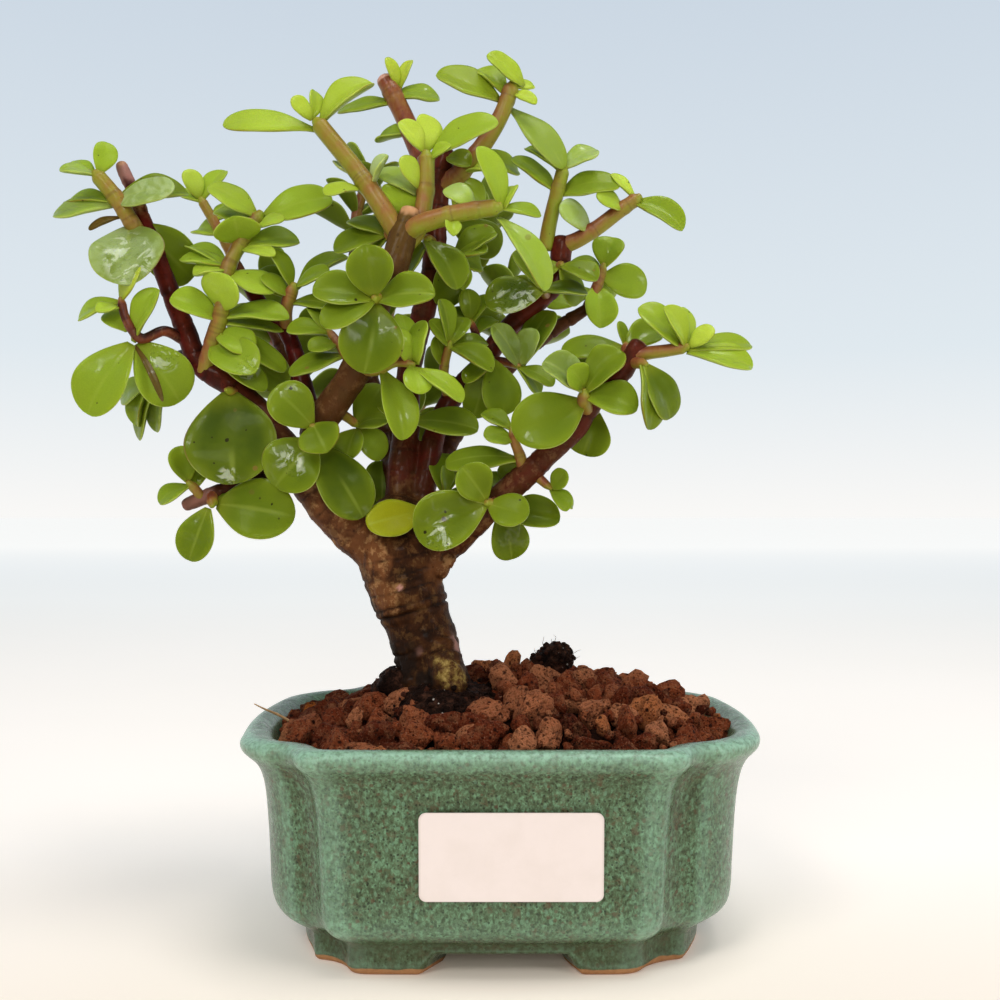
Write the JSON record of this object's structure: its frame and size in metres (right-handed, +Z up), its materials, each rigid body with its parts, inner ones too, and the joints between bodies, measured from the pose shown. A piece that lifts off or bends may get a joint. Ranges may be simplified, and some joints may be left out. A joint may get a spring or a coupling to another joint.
{
  "type": "potted bonsai tree",
  "caption": "Small dwarf jade bonsai: a stout forking trunk with fleshy rounded leaves, planted under lava gravel in a glazed lobed pot on bracket feet.",
  "frame": {"origin": "on the table, under the middle of the bounding box of tree and pot", "axes": "+Z up, -Y the front of the pot where the blank label is, +X to the right when looking at that front"},
  "size_m": [0.172, 0.1, 0.2206],
  "materials": {
    "glaze": "gloss",
    "plastic_mesh": "matte",
    "peat": "matte",
    "lava_gravel": "matte",
    "straw": "matte",
    "label_paper": "satin",
    "bark": "matte",
    "leaf": "satin"
  },
  "bodies": {
    "root": {"pot": "glaze", "drain_mesh_left": "plastic_mesh", "drain_mesh_right": "plastic_mesh", "potting_soil": "peat", "gravel": "lava_gravel", "soil_clod": "peat", "dry_straw": "straw", "label": "label_paper", "trunk": "bark", "shoot_back_left": "leaf", "shoot_back_right": "leaf", "shoot_big_round_leaf": "leaf", "shoot_centre_high": "leaf", "shoot_centre_right": "leaf", "shoot_cross_leaf": "leaf", "shoot_crown_back": "leaf", "shoot_crown_high": "leaf", "shoot_crown_left": "leaf", "shoot_crown_middle": "leaf", "shoot_crown_right": "leaf", "shoot_dark_leaf": "leaf", "shoot_far_left_hanging": "leaf", "shoot_far_left_low": "leaf", "shoot_far_left_tip": "leaf", "shoot_far_side_crown": "leaf", "shoot_far_side_inner": "leaf", "shoot_far_side_left": "leaf", "shoot_far_side_low": "leaf", "shoot_far_side_middle": "leaf", "shoot_far_side_right": "leaf", "shoot_far_side_top": "leaf", "shoot_front_bough": "leaf", "shoot_front_twig": "leaf", "shoot_glossy_leaf": "leaf", "shoot_grey_twig": "leaf", "shoot_inner_twig": "leaf", "shoot_left_fork": "leaf", "shoot_left_inner": "leaf", "shoot_low_centre": "leaf", "shoot_low_front": "leaf", "shoot_low_left_pair": "leaf", "shoot_low_left_tip": "leaf", "shoot_low_right_back": "leaf", "shoot_low_right_cluster": "leaf", "shoot_middle_left": "leaf", "shoot_middle_twig": "leaf", "shoot_old_leaf": "leaf", "shoot_purple_twig": "leaf", "shoot_right_hanging": "leaf", "shoot_right_knob": "leaf", "shoot_right_low_bud": "leaf", "shoot_right_low_twig": "leaf", "shoot_right_middle": "leaf", "shoot_right_tip": "leaf", "shoot_right_tip_left": "leaf", "shoot_right_under": "leaf", "shoot_right_upper": "leaf", "shoot_rosette": "leaf", "shoot_spotted_leaf": "leaf", "shoot_stub_left": "leaf"}
  },
  "joints": []
}
